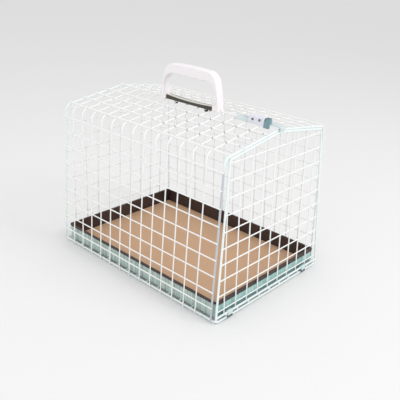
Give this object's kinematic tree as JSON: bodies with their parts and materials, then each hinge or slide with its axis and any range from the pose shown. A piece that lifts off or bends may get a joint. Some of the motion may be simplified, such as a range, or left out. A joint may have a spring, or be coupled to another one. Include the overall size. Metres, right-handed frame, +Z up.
{
  "type": "bird travel carrier",
  "caption": "Welded-wire bird travel carrier with a gabled roof, drop-down end door, ridge latch, moulded carrying handle, and a lift-out tray with a floor board.",
  "frame": {"origin": "on the ground under the middle of the carrier's bounding box", "axes": "+Z up; the ridge and the longest side run along Y; the door is at the -Y end; +X is the right side when facing the door from outside (looking along +Y)"},
  "size_m": [0.2862, 0.4044, 0.3552],
  "materials": {
    "white_wire": "white powder-coated round wire, satin",
    "plated_steel": "pale galvanised sheet",
    "latch_shell": "pale lavender-grey paint, satin",
    "pin_steel": "dark rivet heads",
    "latch_lever": "blue-grey moulding",
    "grip_plastic": "white moulded plastic, soft gloss",
    "strap_steel": "dark steel strip with a light edge",
    "clip_steel": "dark steel",
    "tray_sheet": "sheet metal, mint-grey outside; the inside and the turned hem are dark brown",
    "floor_board": "tan hardboard, matt"
  },
  "bodies": {
    "cage": {"front_rail": "white_wire", "rear_rail": "white_wire", "left_rail": "white_wire", "right_rail": "white_wire", "floor_wires": "white_wire", "left_wall_mesh": "white_wire", "right_wall_mesh": "white_wire", "left_roof_mesh": "white_wire", "right_roof_mesh": "white_wire", "ridge_wire": "white_wire", "front_hoop": "white_wire", "rear_hoop": "white_wire", "rear_panel_mesh": "white_wire", "left_hinge_ring": "plated_steel", "right_hinge_ring": "plated_steel", "latch_plate": "plated_steel", "latch_housing": "latch_shell", "latch_pins": "pin_steel", "handle_grip": "grip_plastic", "handle_strap": "strap_steel", "front_strap_clip": "clip_steel", "rear_strap_clip": "clip_steel"},
    "door": {"door_frame": "white_wire", "door_mesh": "white_wire"},
    "latch": {"latch_lever": "latch_lever", "latch_tongue": "plated_steel"},
    "tray": {"tray": "tray_sheet"},
    "board": {"tray_board": "floor_board"}
  },
  "joints": [
    {"name": "door_swing", "type": "hinge", "parent": "cage", "child": "door", "pos_m": [0, -0.19841, 0.01179], "axis": [1, 0, 0], "range_deg": [0, 93.5]},
    {"name": "latch_lift", "type": "hinge", "parent": "cage", "child": "latch", "pos_m": [0, -0.15381, 0.29714], "axis": [-1, 0, 0], "range_deg": [0, 12], "stiffness_Nm_per_rad": 0.05},
    {"name": "tray_lift", "type": "slide", "parent": "cage", "child": "tray", "axis": [0, 0, 1], "range_m": [0, 0.01]},
    {"name": "board_lift", "type": "slide", "parent": "tray", "child": "board", "axis": [0, 0, 1], "range_m": [0, 0.02]}
  ]
}
